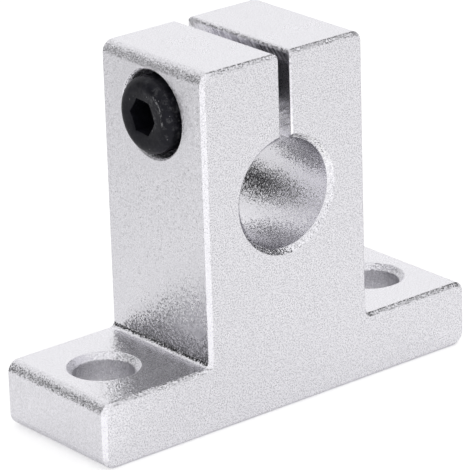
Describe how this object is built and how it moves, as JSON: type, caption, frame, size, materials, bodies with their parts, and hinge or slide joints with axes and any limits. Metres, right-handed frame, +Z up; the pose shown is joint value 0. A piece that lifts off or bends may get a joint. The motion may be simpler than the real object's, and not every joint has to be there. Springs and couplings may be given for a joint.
{
  "type": "shaft support block",
  "caption": "Upright block on a flanged base with a split bore that clamps a round shaft; a cap screw across the split draws it closed.",
  "frame": {"origin": "centre of the base's flat underside, on the surface the block is bolted to", "axes": "+X along the base, from the screw head's side to the tapped side; +Y along the shaft; +Z up from the base to the split top"},
  "size_m": [0.042, 0.014, 0.033],
  "materials": {
    "block_aluminium": "bead-blasted and clear anodised",
    "screw_black_steel": "black oxide, lightly oiled"
  },
  "bodies": {
    "block": {"support_block": "block_aluminium"},
    "screw": {"clamp_screw": "screw_black_steel"}
  },
  "joints": [
    {"name": "clamp_screw_turn", "type": "hinge", "parent": "block", "child": "screw", "pos_m": [-0.0062, 0, 0.02785], "axis": [1, 0, 0], "range_deg": [-2520, 720]}
  ]
}
